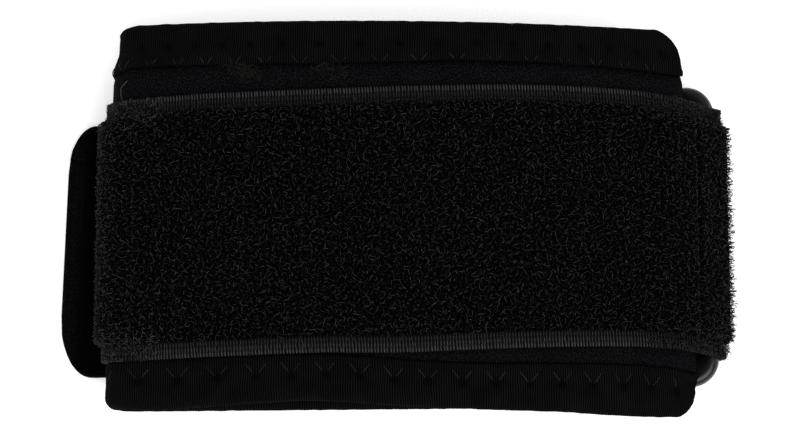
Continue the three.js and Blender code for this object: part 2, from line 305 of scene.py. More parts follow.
def band_point(along, across, up):
    """A point of the band: tables move its edges, and its free end flares, slants and is rounded."""
    along, across, up = np.broadcast_arrays(along, across, up)
    end = LAY["sleeve"].length
    towards_end = ease(along, LAY["slant_start"], end)
    run = along - LAY["front_start"]
    edges = [np.interp(run, table[:, 0], table[:, 1]) for table in (UPPER_INNER, LOWER_INNER)]
    shift = np.where(across > 0, edges[0], edges[1]) - INNER_EDGE
    weight = np.clip(1 - np.abs(np.abs(across) - INNER_EDGE) / BINDING_REACH, 0, 1)
    drawn = np.interp(run, LOWER_OUTER[:, 0], LOWER_OUTER[:, 1]) * (across < 0)
    beyond = np.clip((np.abs(across) - INNER_EDGE) / BINDING_REACH, 0, 1)
    across = across + np.sign(across) * (shift * weight - drawn * beyond)
    slide = -END_SLANT * across * towards_end
    trim = np.interp(across, FREE_END_TRIM[:, 0], FREE_END_TRIM[:, 1])
    slide = slide - trim * ease(along, end - 15, end)
    reach = np.where(across > 0, CORNER_REACH, LOWER_CORNER)
    left = np.clip(reach - (end - along), 0, reach)
    inset = reach - np.sqrt(reach**2 - left**2)
    share = np.clip(np.abs(across) - INNER_EDGE, 0, None) / BINDING_REACH
    across = across * (1 + END_FLARE / HALF_BAND * towards_end) - np.sign(across) * inset * share

    def drift(x, z, _):
        skew = BACK_SKEW + (BAND_SKEW - BACK_SKEW) * ease(z, BACK_Z, BACK_Z + 2 * FOLD_RADIUS)
        return skew * (x - MIDDLE_X) + BAND_LEAN * (z - FRONT_FLOOR) - END_DROP * towards_end

    return place(LAY["sleeve"], along, across, up, drift, slide)


def strap_point(along, across, up):
    """A point of the strap: the tail's corners are quarter ellipses and its end is slanted, the strap
    wanders, and the ring draws it in.
    """
    along, across, up = np.broadcast_arrays(along, across, up)
    left = np.clip(1 - along / np.where(across > 0, TIP_DEPTH, WORN_DEPTH), 0, 1)
    spread = np.where(across > 0, TIP_SPREAD, WORN_SPREAD)
    across = across * (1 - spread * (1 - np.sqrt(1 - left**2)) / HALF_STRAP)
    near = 1 - ease(np.abs(along - LAY["loop_middle"]), NECK_FULL, NECK_SPAN)
    across = across * (1 - NECK_DRAW / HALF_STRAP * near) + NECK_SHIFT * near
    slide = TIP_SLANT * across * (1 - ease(along, 0, TAB_LENGTH))
    run = along - LAY["fold_start"]
    upper, lower = (np.interp(run, STRAP_PULL[:, 0], STRAP_PULL[:, i]) for i in (1, 2))
    across = across + lower + (upper - lower) * (across / HALF_STRAP + 1) / 2

    def drift(x, z, along):
        slope = np.where(along < LAY["tail_end"], TAIL_SKEW, STRAP_SKEW)
        return STRAP_OFFSET - slope * np.clip(LAY["left"][0] - x, 0, None)

    return place(LAY["strap"], along, across, up, drift, slide)


def ripple(a, b, size, seed):
    """A smooth uneven field of about -1 to 1: nine sine waves of random headings, over five."""
    rng = np.random.default_rng(seed)
    total = 0.0
    for _ in range(9):
        turn = rng.uniform(0, 2 * np.pi)
        wave = size * rng.uniform(0.7, 1.6)
        shift = rng.uniform(0, 2 * np.pi)
        total = total + np.sin((a * np.cos(turn) + b * np.sin(turn)) * 2 * np.pi / wave + shift)
    return total / 5


def subdivide(corners, step):
    """A closed profile with points no further apart than a step, its corners kept."""
    following = np.roll(corners, -1, axis=0)
    runs = []
    for start, stop in zip(corners, following):
        parts = max(1, int(np.ceil(np.linalg.norm(stop - start) / step)))
        share = np.arange(parts)[:, None] / parts
        runs.append(start + (stop - start) * share)
    return np.concatenate(runs)


def put_mesh(name, points, quads, caps, uv, material, nodes, shade):
    """One finished piece from points in millimetres, quads, cap polygons and a UV for each corner.

    The shade of each point is kept as the strand attribute, which the materials read.
    """
    mesh = bpy.data.meshes.new(name)
    mesh.vertices.add(len(points))
    mesh.vertices.foreach_set("co", (points * MM).astype(np.float32).ravel())
    corners = np.concatenate([part.ravel() for part in (quads, *caps)]).astype(np.int32)
    sizes = np.concatenate([np.full(len(part), part.shape[1]) for part in (quads, *caps)])
    mesh.loops.add(len(corners))
    mesh.loops.foreach_set("vertex_index", corners)
    mesh.polygons.add(len(sizes))
    starts = np.concatenate([[0], np.cumsum(sizes)[:-1]]).astype(np.int32)
    mesh.polygons.foreach_set("loop_start", starts)
    mesh.polygons.foreach_set("use_smooth", np.ones(len(sizes), dtype=bool))
    layer = mesh.uv_layers.new(name="Cloth")
    layer.uv.foreach_set("vector", (uv * MM).astype(np.float32).ravel())
    made = mesh.attributes.new("strand", "FLOAT", "POINT")
    made.data.foreach_set("value", shade.astype(np.float32))
    mesh.update(calc_edges=True)
    if mesh.validate():
        raise RuntimeError(f"{name} has a faulty face")
    mesh.materials.append(material)
    piece = bpy.data.objects.new(name, mesh)
    bpy.context.scene.collection.objects.link(piece)
    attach(piece, "root")
    if nodes:
        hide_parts(*nodes)


def skin(strands, rows, count, closed=False):
    """Quads between the rows of points of each strand, all round, and from the last row if closed."""
    steps = rows if closed else rows - 1
    s, i, j = np.meshgrid(np.arange(strands), np.arange(steps), np.arange(count), indexing="ij")
    here, ahead = (s * rows + i) * count, (s * rows + (i + 1) % rows) * count
    following = (j + 1) % count
    quads = np.stack([here + j, here + following, ahead + following, ahead + j], axis=-1)
    return s, i, j, quads.reshape(-1, 4)


def carry(name, stations, profile, points, material, nodes, shade=None):
    """A closed profile carried along stations: quads between neighbours and a cap on each end.

    The profile runs anticlockwise seen against the heading, so the quads face outwards. The UV is
    the distance along the course and the distance round the profile.
    """
    rows, count = points.shape[:2]
    _, i, j, quads = skin(1, rows, count)
    edges = np.linalg.norm(np.roll(profile, -1, axis=0) - profile, axis=1)
    girth = np.concatenate([[0], np.cumsum(edges)])
    u = np.stack([stations[i], stations[i], stations[i + 1], stations[i + 1]], axis=-1)
    v = np.stack([girth[j], girth[j + 1], girth[j + 1], girth[j]], axis=-1)
    first = np.arange(count)[::-1][None]
    last = ((rows - 1) * count + np.arange(count))[None]
    cap_uv = np.stack([girth[:-1], girth[:-1] * 0], axis=-1)
    uv = np.concatenate([np.stack([u, v], axis=-1).reshape(-1, 2), cap_uv[::-1], cap_uv])
    tint = np.ones(rows * count) if shade is None else shade.ravel()
    put_mesh(name, points.reshape(-1, 3), quads, [first, last], uv, material, nodes, tint)


def tubes(name, lines, radius, sides, material, nodes, flat=1.0, shade=None):
    """Many strands joined in one mesh: a ring of points round each point of each path.

    A ring is c + r (f cos(a) n + sin(a) b), where f flattens it, t is the path's direction, n the
    direction up made square to t, and b is t cross n. A polygon closes each end of a strand.
    """
    paths, normal = lines
    strands, steps = paths.shape[:2]
    tangent = np.gradient(paths, axis=1)
    tangent /= np.linalg.norm(tangent, axis=-1, keepdims=True)
    n = normal - (normal * tangent).sum(axis=-1, keepdims=True) * tangent
    n /= np.linalg.norm(n, axis=-1, keepdims=True)
    b = np.cross(tangent, n)
    angle = np.arange(sides) * 2 * np.pi / sides
    radius = np.broadcast_to(radius, (strands, steps))[..., None, None]
    ring = flat * np.cos(angle)[:, None] * n[:, :, None] + np.sin(angle)[:, None] * b[:, :, None]
    points = (paths[:, :, None] + radius * ring).reshape(-1, 3)
    s, i, j, quads = skin(strands, steps, sides)
    starts = (np.arange(strands) * steps * sides)[:, None] + np.arange(sides)[::-1]
    stops = ((np.arange(strands) + 1) * steps * sides - sides)[:, None] + np.arange(sides)
    run = np.linalg.norm(np.diff(paths, axis=1), axis=-1)
    run = np.concatenate([np.zeros((strands, 1)), np.cumsum(run, axis=1)], axis=1)
    u = np.stack([run[s, i], run[s, i], run[s, i + 1], run[s, i + 1]], axis=-1)
    v = np.stack([j, j + 1, j + 1, j], axis=-1) * 0.1
    uv = np.concatenate([np.stack([u, v], axis=-1).reshape(-1, 2), np.zeros((2 * strands * sides, 2))])
    tint = np.repeat(np.ones(strands) if shade is None else shade, steps * sides)
    put_mesh(name, points, quads, [starts, stops], uv, material, nodes, tint)


def spread(stations, profile):
    """Distance along, place across and height of each point of a profile at each station."""
    along, across = np.meshgrid(stations, profile[:, 0], indexing="ij")
    return along, across, np.broadcast_to(profile[:, 1], along.shape)


def lines_on(cloth_name, along, across, up):
    """Lines over the strap or the sleeve, and the direction up from its course at each point.

    That direction is (-sin(heading), 0, cos(heading)).
    """
    _, _, heading = LAY[cloth_name].at(along)
    normal = np.stack([-np.sin(heading), np.zeros_like(heading), np.cos(heading)], axis=-1)
    point = strap_point if cloth_name == "strap" else band_point
    return point(along, across, up), normal


# Materials

# The output that is used of a kind of node, and the settings it has unless a call says otherwise.
# Patterns lie on the UV along and round the cloth or on the object's own coordinates, and the strand
# attribute is the brightness of each strand.
KINDS = {
    "UVMap": ("UV", {"uv_map": "Cloth"}), "TexCoord": ("Object", {}),
    "Attribute": ("Fac", {"attribute_name": "strand"}), "TexWave": ("Fac", {"bands_direction": "X"}),
    "Math": ("Value", {"operation": "MULTIPLY"}), "Mix": (2, {"data_type": "RGBA"})
}


def add_node(tree, kind, inputs=None, output=None, **settings):
    """Adds a shader node with its settings, sets or links its inputs and gives one of its outputs."""
    node = tree.nodes.new("ShaderNode" + kind)
    usual_output, usual_settings = KINDS.get(kind, (0, {}))
    for name, value in (usual_settings | settings).items():
        setattr(node, name, value)
    for name, value in (inputs or {}).items():
        if isinstance(value, bpy.types.NodeSocket):
            tree.links.new(value, node.inputs[name])
        else:
            node.inputs[name].default_value = value
    return node.outputs[output or usual_output] if node.outputs else None


def new_material(name):
    """An empty material, and the function that adds a node to it."""
    material = bpy.data.materials.new(name)
    material.use_nodes = True
    material.node_tree.nodes.clear()
    return material, partial(add_node, material.node_tree)


def finish(material, node, colour, bump, roughness, specular, **more):
    """Joins a shader with this colour, bump, roughness and specular level to the material's output."""
    inputs = {"Base Color": colour, "Roughness": roughness, "Specular IOR Level": specular, **more}
    if bump:
        inputs["Normal"] = bump
    node("OutputMaterial", {"Surface": node("BsdfPrincipled", inputs)})
    return material


def grains(mm):
    """Scale of a noise or cell pattern on metres whose grains are about so many millimetres."""
    return 1 / (mm * MM)


def bands(mm):
    """Scale of a wave pattern on metres whose bands lie so many millimetres apart."""
    return 2 * np.pi / 20 / (mm * MM)


def rgba(colour):
    return (colour[0], colour[1], colour[2], 1.0)


def neoprene_jersey(colours):
    """Nylon jersey laminated on neoprene: smooth, matt, a little blue, with a fine wale lattice."""
    material, node = new_material("nylon jersey on neoprene")
    on_cloth = node("UVMap")
    # Wales 0.5 mm apart, crossed at 38 degrees to either side of the band's length.
    waves = []
    for turn in (38, -38):
        turned = node("Mapping", {"Rotation": (0, 0, np.radians(turn)), "Vector": on_cloth})
        wave = {
            "Vector": turned, "Scale": bands(0.5), "Distortion": 1.2, "Detail": 1.0, "Detail Scale": 0.6
        }
        waves.append(node("TexWave", wave))
    lattice = node("Math", {0: waves[0], 1: waves[1]})
    mottle = node(
        "TexNoise", {"Vector": node("TexCoord"), "Scale": grains(3.5), "Detail": 4.0, "Roughness": 0.6}
    )
    # Bright filaments between the wales, in grains of about 0.3 mm.
    speck = node("TexNoise", {"Vector": on_cloth, "Scale": grains(0.32), "Detail": 1.0, "Roughness": 0.5})
    lit = node("MapRange", {"Value": speck, "From Min": 0.43, "From Max": 0.7})
    tone = node(
        "MapRange", {"Value": mottle, "From Min": 0.3, "From Max": 0.7, "To Min": 0.65, "To Max": 1.15}
    )
    blend = node("Math", {0: lit, 1: tone}, use_clamp=True)
    colour = node("Mix", {0: blend, 6: rgba(colours.neoprene_dark), 7: rgba(colours.neoprene)})
    bump = node("Bump", {"Height": lattice, "Strength": 0.8, "Distance": 0.1 * MM})
    return finish(material, node, colour, bump, roughness=0.7, specular=0.01, IOR=1.5)


def rib_knit(colours):
    """Rib-knit polyester binding: fine ribs square to the edge, soft and slightly hairy."""
    material, node = new_material("rib-knit polyester")
    on_cloth = node("UVMap")
    # The ribs are pulled aside by up to half a millimetre where the stitches gather the tape.
    wander = node("TexNoise", {"Vector": on_cloth, "Scale": grains(5.0), "Detail": 2.0}, "Color")
    pulled = node("VectorMath", {0: wander, 1: (0.8 * MM, 0, 0), 2: on_cloth}, operation="MULTIPLY_ADD")
    wave = {"Vector": pulled, "Scale": bands(0.45), "Distortion": 0.8, "Detail": 1.0, "Detail Scale": 0.5}
    ribs = node("TexWave", wave)
    hair = node("TexNoise", {"Vector": on_cloth, "Scale": grains(0.25), "Detail": 3.0, "Roughness": 0.7})
    height = node("Math", {0: hair, 1: 0.9, 2: ribs}, operation="MULTIPLY_ADD")
    lit = node("MapRange", {"Value": height, "From Min": 0.65, "From Max": 1.5})
    mottle = node("TexNoise", {"Vector": node("TexCoord"), "Scale": grains(4.0), "Detail": 3.0})
    fade = node(
        "MapRange", {"Value": mottle, "From Min": 0.3, "From Max": 0.7, "To Min": 0.6, "To Max": 1.1}
    )
    tone = node("Math", {0: lit, 1: fade}, use_clamp=True)
    # Painted shade at the needle holes, from the strand attribute.
    tone = node("Math", {0: tone, 1: node("Attribute")})
    colour = node("Mix", {0: tone, 6: rgba(colours.binding_dark), 7: rgba(colours.binding)})
    bump = node("Bump", {"Height": height, "Strength": 0.9, "Distance": 0.14 * MM})
    return finish(material, node, colour, bump, roughness=0.85, specular=0.008)


def loop_fibre(colours):
    """Brushed nylon loops: near black, with browner and bluer patches and paler single strands."""
    material, node = new_material("brushed nylon loop pile")
    patches = node("TexNoise", {"Vector": node("TexCoord"), "Scale": grains(6.0), "Detail": 2.0})
    blend = node("MapRange", {"Value": patches, "From Min": 0.48, "From Max": 0.62})
    tint = node("Mix", {0: blend, 6: rgba(colours.fibre_cool), 7: rgba(colours.fibre_warm)})
    colour = node("Mix", {0: node("Attribute"), 6: rgba(colours.pile_root), 7: tint})
    return finish(material, node, colour, None, roughness=0.5, specular=0.08)


def pile_bed(colours):
    """The dense lower part of the pile: matt, nearly black, with deep pits between the loops."""
    material, node = new_material("nylon pile bed")
    # Loops stand about 0.45 mm apart.
    grain = {"Vector": node("TexCoord"), "Scale": grains(0.45), "Detail": 3.0, "Roughness": 0.65}
    tufts = node("TexNoise", grain | {"Distortion": 1.5})
    lit = node("MapRange", {"Value": tufts, "From Min": 0.4, "From Max": 0.7})
    colour = node("Mix", {0: lit, 6: rgba(colours.pile_root), 7: rgba(colours.pile_bed)})
    bump = node("Bump", {"Height": tufts, "Strength": 1.0, "Distance": 0.3 * MM})
    return finish(material, node, colour, bump, roughness=0.95, specular=0.01)


def woven_nylon(colours):
    """Woven nylon ground of the loop tape: a plain weave whose smooth yarns catch the light."""
    material, node = new_material("woven nylon ground")
    on_cloth = node("UVMap")
    # Weft picks 0.58 mm apart along the tape, warp ends 0.45 mm apart across it.
    wave = {"Vector": on_cloth, "Distortion": 0.5, "Detail": 1.0}
    weft = node("TexWave", wave | {"Scale": bands(0.58)})
    warp = node("TexWave", wave | {"Scale": bands(0.45)}, bands_direction="Y")
    weave = node("Math", {0: weft, 1: warp})
    colour = node("Mix", {0: weave, 6: rgba(colours.pile_root), 7: rgba(colours.ground)})
    bump = node("Bump", {"Height": weave, "Strength": 1.0, "Distance": 0.12 * MM})
    return finish(material, node, colour, bump, roughness=0.6, specular=0.05)


def yarn(name, colour, roughness, specular):
    """Spun or filament yarn: plies twisted round each other, seen as slanted bands 0.3 mm apart.

    The strand attribute darkens whole yarns.
    """
    material, node = new_material(name)
    wave = {"Vector": node("UVMap"), "Scale": bands(0.3), "Distortion": 0.3}
    plies = node("TexWave", wave, bands_direction="DIAGONAL")
    twist = node("MapRange", {"Value": plies, "To Min": 0.45, "To Max": 1.0})
    lit = node("Math", {0: twist, 1: node("Attribute")}, use_clamp=True)
    mixed = node("Mix", {0: lit, 6: (0.0005, 0.0005, 0.0005, 1.0), 7: rgba(colour)})
    bump = node("Bump", {"Height": plies, "Strength": 0.8, "Distance": 0.05 * MM})
    return finish(material, node, mixed, bump, roughness, specular)


def hook_nylon(colours):
    """Nylon hook tape: a dull coated base under stiff shiny monofilament hooks."""
    material, node = new_material("nylon hook tape")
    speck = node("TexVoronoi", {"Vector": node("TexCoord"), "Scale": grains(0.45), "Randomness": 0.9})
    # Painted shade: the strand attribute dims the specks away from the tail's end, under the fold.
    painted_fold_shade = node("Math", {0: speck, 1: node("Attribute")})
    colour = node("Mix", {0: painted_fold_shade, 6: rgba(colours.pile_root), 7: rgba(colours.hook)})
    bump = node("Bump", {"Height": speck, "Strength": 0.8, "Distance": 0.1 * MM})
    return finish(material, node, colour, bump, roughness=0.5, specular=0.005)


def moulded_acetal(colours):
    """Injection-moulded acetal: a hard dark grey-brown gloss with a faint orange peel."""
    material, node = new_material("moulded acetal")
    on_object = node("TexCoord")
    peel = node("TexNoise", {"Vector": on_object, "Scale": grains(0.7), "Detail": 2.0})
    rubbed = node(
        "TexNoise", {"Vector": on_object, "Scale": grains(4.0), "Detail": 5.0, "Roughness": 0.7}
    )
    gloss = node(
        "MapRange", {"Value": rubbed, "From Min": 0.3, "From Max": 0.7, "To Min": 0.22, "To Max": 0.36}
    )
    bump = node("Bump", {"Height": peel, "Strength": 0.3, "Distance": 0.02 * MM})
    # Painted highlight: the specular level follows the strand attribute, none on the ring's inner side.
    painted_rim_sheen = node("MapRange", {"Value": node("Attribute"), "To Min": 0.0, "To Max": 0.33})
    return finish(material, node, rgba(colours.ring), bump, gloss, painted_rim_sheen, IOR=1.48)


def studio_paper(colours):
    """Matt white background paper, lit a little from below as on a light table."""
    material, node = new_material("white background paper")
    pulp = node("TexNoise", {"Vector": node("TexCoord"), "Scale": grains(1.5), "Detail": 4.0})
    bump = node("Bump", {"Height": pulp, "Strength": 0.1, "Distance": 0.02 * MM})
    glow = {"Emission Color": (1, 1, 1, 1), "Emission Strength": 0.3}
    return finish(material, node, rgba(colours.floor), bump, roughness=0.9, specular=0.1, **glow)


# Sizes and colours that a user may change

def colour_setting(name, description, code):
    """A colour setting from its sRGB hex value."""
    return FloatVectorProperty(
        name=name, description=description, subtype="COLOR", default=linear(code), min=0, max=1
    )


def length_setting(name, description, default, low, high):
    """A length setting from millimetres."""
    return FloatProperty(
        name=name, description=description, unit="LENGTH", default=default * MM, min=low * MM,
        max=high * MM
    )


def power_setting(name, description, default):
    """A light's power in watts."""
    return FloatProperty(name=name, description=description, unit="POWER", default=default, min=0)


class ColourSettings(PropertyGroup):
    """Colours of the cloths, the yarns, the ring and the floor."""

    neoprene: colour_setting("Neoprene face", "Jersey face of the band", "161617")
    neoprene_dark: colour_setting("Neoprene shade", "Darker patches of the jersey", "030306")
    binding: colour_setting("Binding", "Ribs of the edge binding", "151414")
    binding_dark: colour_setting("Binding grooves", "Grooves between the binding's ribs", "030303")
    pile_root: colour_setting("Pile root", "Depth of the loop pile", "020203")
    fibre_cool: colour_setting("Loops, cool", "Bluish strands of the pile", "44444a")
    fibre_warm: colour_setting("Loops, warm", "Brownish strands of the pile", "433f41")
    pile_bed: colour_setting("Pile bed", "Packed loops under the strands", "020203")
    ground: colour_setting("Woven ground", "Ground that carries the pile", "060607")
    selvedge: colour_setting("Selvedge", "Weft yarns of the strap's bare borders", "414144")
    thread: colour_setting("Thread", "Zigzag and seam thread", "202021")
    stray: colour_setting("Stray thread", "Loose and frayed pale threads", "5a5254")
    snag: colour_setting("Snag", "Pulled yarn of the binding", "302f2d")
    hook: colour_setting("Hook tape", "Hook patch on the tail", "131011")
    ring: colour_setting("Ring", "Moulded plastic of the ring", "0e0c0b")
    floor: colour_setting("Floor", "Background paper", "fafafa")


class ClothSettings(PropertyGroup):
    """Sizes of the stitches, ribs and strands."""

    zigzag_reach: length_setting("Zigzag reach", "How far the zigzag runs into the binding", 3.9, 1, 7)
    thread_radius: length_setting("Thread radius", "Half thickness of the zigzag thread", 0.1, 0.05, 0.5)
    dimple_depth: length_setting("Dimple depth", "How deep the stitches pull the cloth in", 0.5, 0, 0.8)
    rib_pitch: length_setting(
        "Selvedge pitch", "Distance between weft yarns of the selvedge", 0.58, 0.3, 2
    )
    loop_length: length_setting("Loop length", "Mean length of a strand of the pile", 0.88, 0.3, 4)
    loop_radius: length_setting("Loop radius", "Half thickness of a strand of the pile", 0.06, 0.01, 0.2)
    hook_pitch: length_setting("Hook pitch", "Distance between rows of hooks", 1.2, 0.8, 3)
    loops_per_cm2: IntProperty(
        name="Loops per cm2", description="Strands on each square centimetre that shows", default=370,
        min=10, max=800
    )
    seed: IntProperty(name="Seed", description="Start of the random numbers", default=7, min=0)


class StageSettings(PropertyGroup):
    """Camera and lights."""

    elevation: FloatProperty(
        name="Elevation", description="Camera's angle over the floor", subtype="ANGLE",
        default=float(np.radians(78.763)), min=0, max=float(np.radians(90))
    )
    distance: length_setting("Distance", "From the camera to the strap", 500.8, 100, 3000)
    lens: FloatProperty(
        name="Lens", description="Focal length in millimetres", default=117.89, min=10, max=300
    )
    key_power: power_setting("Key light", "Power of the large soft light", 6.5)
    fill_power: power_setting("Fill light", "Power of the light across from it", 1.6)
    side_power: power_setting("Side light", "Power of the warm light at the ring's end", 1.4)
    sky: FloatProperty(
        name="Surround", description="Strength of the even light all round", default=0.62, min=0
    )


def colours():
    return bpy.context.scene.elbow_colours


def cloth():
    return bpy.context.scene.elbow_cloth


# Stitch places. A row gives the run from the start of the arched front and the pitch there, and an
# apex stands at the run that is given below.
UPPER_PITCH = np.array([[-130, 6.4], [0, 5.5], [20, 5.6], [35, 7.8], [75, 7.0], [95, 5.4], [110, 5.2]])
LOWER_PITCH = np.array([[-130, 6.4], [-5, 7.6], [18, 7.6], [28, 6.3], [75, 6.2], [90, 5.6], [110, 5.2]])
UPPER_APEX = 50.7
LOWER_APEX = 49.0
MEAN_PITCH = 6.2
# Distance of the zigzag's inner points from the band's middle.
ZIGZAG_INNER = INNER_EDGE - 0.25


def stitch_phase(along, side):
    """Whole at each apex of a zigzag: the running sum of one over the pitch, given as a table too."""
    table, apex = (UPPER_PITCH, UPPER_APEX) if side > 0 else (LOWER_PITCH, LOWER_APEX)
    grid = np.linspace(0, LAY["sleeve"].length, 4000)
    run = grid - LAY["front_start"]
    rate = 1 / np.interp(run, table[:, 0], table[:, 1])
    phase = np.concatenate([[0], np.cumsum((rate[1:] + rate[:-1]) / 2 * np.diff(grid))])
    phase -= np.interp(LAY["front_start"] + apex, grid, phase)
    return np.interp(along, grid, phase), grid, phase


def zigzag_line(phase):
    """Distance from the band's middle: furthest at a whole phase, least at a half, straight between.

    It also gives the swing, which is 0 at a whole phase and 1 at a half.
    """
    swing = 2 * np.abs(phase - np.round(phase))
    return ZIGZAG_INNER + cloth().zigzag_reach / MM * (1 - swing), swing


def stitch_relief(along, across, side):
    """How far the stitches draw the cloth in, and the bell alone that is part of it.

    It is a bell round each apex and a groove under the thread.
    """
    phase, _, _ = stitch_phase(along, side)
    line, _ = zigzag_line(phase)
    outer = ZIGZAG_INNER + cloth().zigzag_reach / MM
    near = (phase - np.round(phase)) * MEAN_PITCH
    bell = np.exp(-((near / 0.8) ** 2) - ((np.abs(across) - outer) / 0.6) ** 2)
    groove = np.exp(-(((np.abs(across) - line) / 0.45) ** 2))
    depth = cloth().dimple_depth / MM
    return depth * bell + 0.35 * depth * groove, bell


def random_numbers(shift):
    """The random numbers of one piece, from the seed that a user may change."""
    return np.random.default_rng(cloth().seed + shift)


def fold_bell(along):
    """1 at the crest of the fold, falling to nothing 10 mm from it."""
    return np.exp(-(((along - LAY["front_start"] + 9) / 5) ** 2))


class ELBOW_OT_sleeve(Operator):
    """Foam band with its knit face, from the back's free end round the fold to the front's"""

    bl_idname = "elbow.sleeve"
    bl_label = "Sleeve"

    def execute(self, context):
        body = INNER_EDGE
        tongue = HALF_BAND - BINDING_TAPE - 0.3
        pressed = BINDING_TAPE - BINDING_PROUD + 0.15
        x = np.array([body, body + 0.1, tongue, tongue, body + 0.1, body])
        z = np.array([-BAND_WALL, pressed - BAND_WALL, pressed - BAND_WALL, -pressed, -pressed, 0])
        right = np.stack([x, z], axis=1)
        profile = subdivide(np.concatenate([right, right[::-1] * [-1, 1]]), 1.6)
        stations = np.linspace(0, LAY["sleeve"].length, 300)
        along, across, up = spread(stations, profile)
        outward = np.where(up > -BAND_WALL / 2, 1.0, -1.0)
        face = ease(np.abs(up + BAND_WALL / 2), BAND_WALL / 2 - 0.2, BAND_WALL / 2)
        # The foam is quilted a little by the stitches and waves by a tenth of a millimetre.
        swell = 0.12 * ripple(along, across, 14, 3) * face
        edge = ease(np.abs(across), body - 1.6, body) * 0.25 * face
        swell = swell + 0.3 * fold_bell(along) * face * (outward > 0) * (across > 0)
        points = band_point(along, across, up + outward * (swell - edge))
        material = neoprene_jersey(colours())
        carry("sleeve_body", stations, profile, points, material, ["sleeve"])
        return {"FINISHED"}


class ELBOW_OT_bindings(Operator):
    """Rib-knit tape folded round the band's long edges, gathered by the zigzag stitches"""

    bl_idname = "elbow.bindings"
    bl_label = "Bindings"

    def execute(self, context):
        inner, inside = INNER_EDGE, HALF_BAND - BINDING_TAPE
        roll = BAND_WALL / 2 + BINDING_PROUD
        middle = -BAND_WALL / 2
        hollow = roll - BINDING_TAPE
        turn = np.linspace(-np.pi / 2, np.pi / 2, 13)
        bend = np.stack([HALF_BAND - roll + roll * np.cos(turn), middle + roll * np.sin(turn)], axis=1)
        cut = [
            [inner + 0.25, middle + roll], [inner, middle + roll - 0.3], [inner, middle + hollow],
            [inside, middle + hollow], [inside, middle - hollow], [inner, middle - hollow],
            [inner, middle - roll + 0.3]
        ]
        section = subdivide(np.concatenate([[[inner + 0.25, middle - roll]], bend, cut]), 0.6)
        stations = np.linspace(0, LAY["sleeve"].length, 430)
        material = rib_knit(colours())
        for name, node, side in (
            ("upper_edge_binding", "upper_binding", 1), ("lower_edge_binding", "lower_binding", -1)
        ):
            profile = section if side > 0 else section[::-1] * [-1, 1]
            along, across, up = spread(stations, profile)
            outer_face = ease(np.abs(up - middle), roll - 0.35, roll)
            outward = np.where(up > middle, 1.0, -1.0)
            relief, hole_shade = stitch_relief(along, across, side)
            puff = 0.1 * ripple(along, across, 5, 11 + side)
            gather = 0.05 * ripple(along, across * 0.2, 2.4, 21 + side)
            flat = 0.35 * fold_bell(along) * (outward > 0) * (side > 0)
            up = up + outward * outer_face * (puff - relief - flat)
            points = band_point(along, across + side * (1 - outer_face) * gather, up)
            # The strand attribute is painted shade at the needle holes round each apex.
            carry(name, stations, profile, points, material, [node], 1 - 0.8 * hole_shade)
        return {"FINISHED"}


def pile_top(along, across):
    """Height of the pile over the woven face: full in the middle, a quarter ellipse at the sides.

    A bell lowers it along the seam that closes the ring loop.
    """
    out = np.clip((np.abs(across) - (HALF_PILE - PILE_SHOULDER)) / PILE_SHOULDER, 0, 1)
    seam = np.exp(-(((along - LAY["neck_start"] - CREASE_WIDTH / 2) / 0.5) ** 2))
    return STRAP_BACKING + (PILE_HEIGHT - CREASE_DEPTH * seam) * np.sqrt(1 - out**2)


def strap_stations(start):
    """Distances along the strap, close where the seam presses the pile and round the ring."""
    course = LAY["strap"]
    seam = LAY["neck_start"]
    far = np.linspace(start, course.length, int((course.length - start) / 0.9))
    near = np.linspace(seam - 1.5, seam + 3.0, 20)
    wraps = np.linspace(LAY["wrap_start"], LAY["wrap_start"] + np.pi * WRAP_RADIUS, 24)
    return np.unique(np.concatenate([far, near, wraps]))


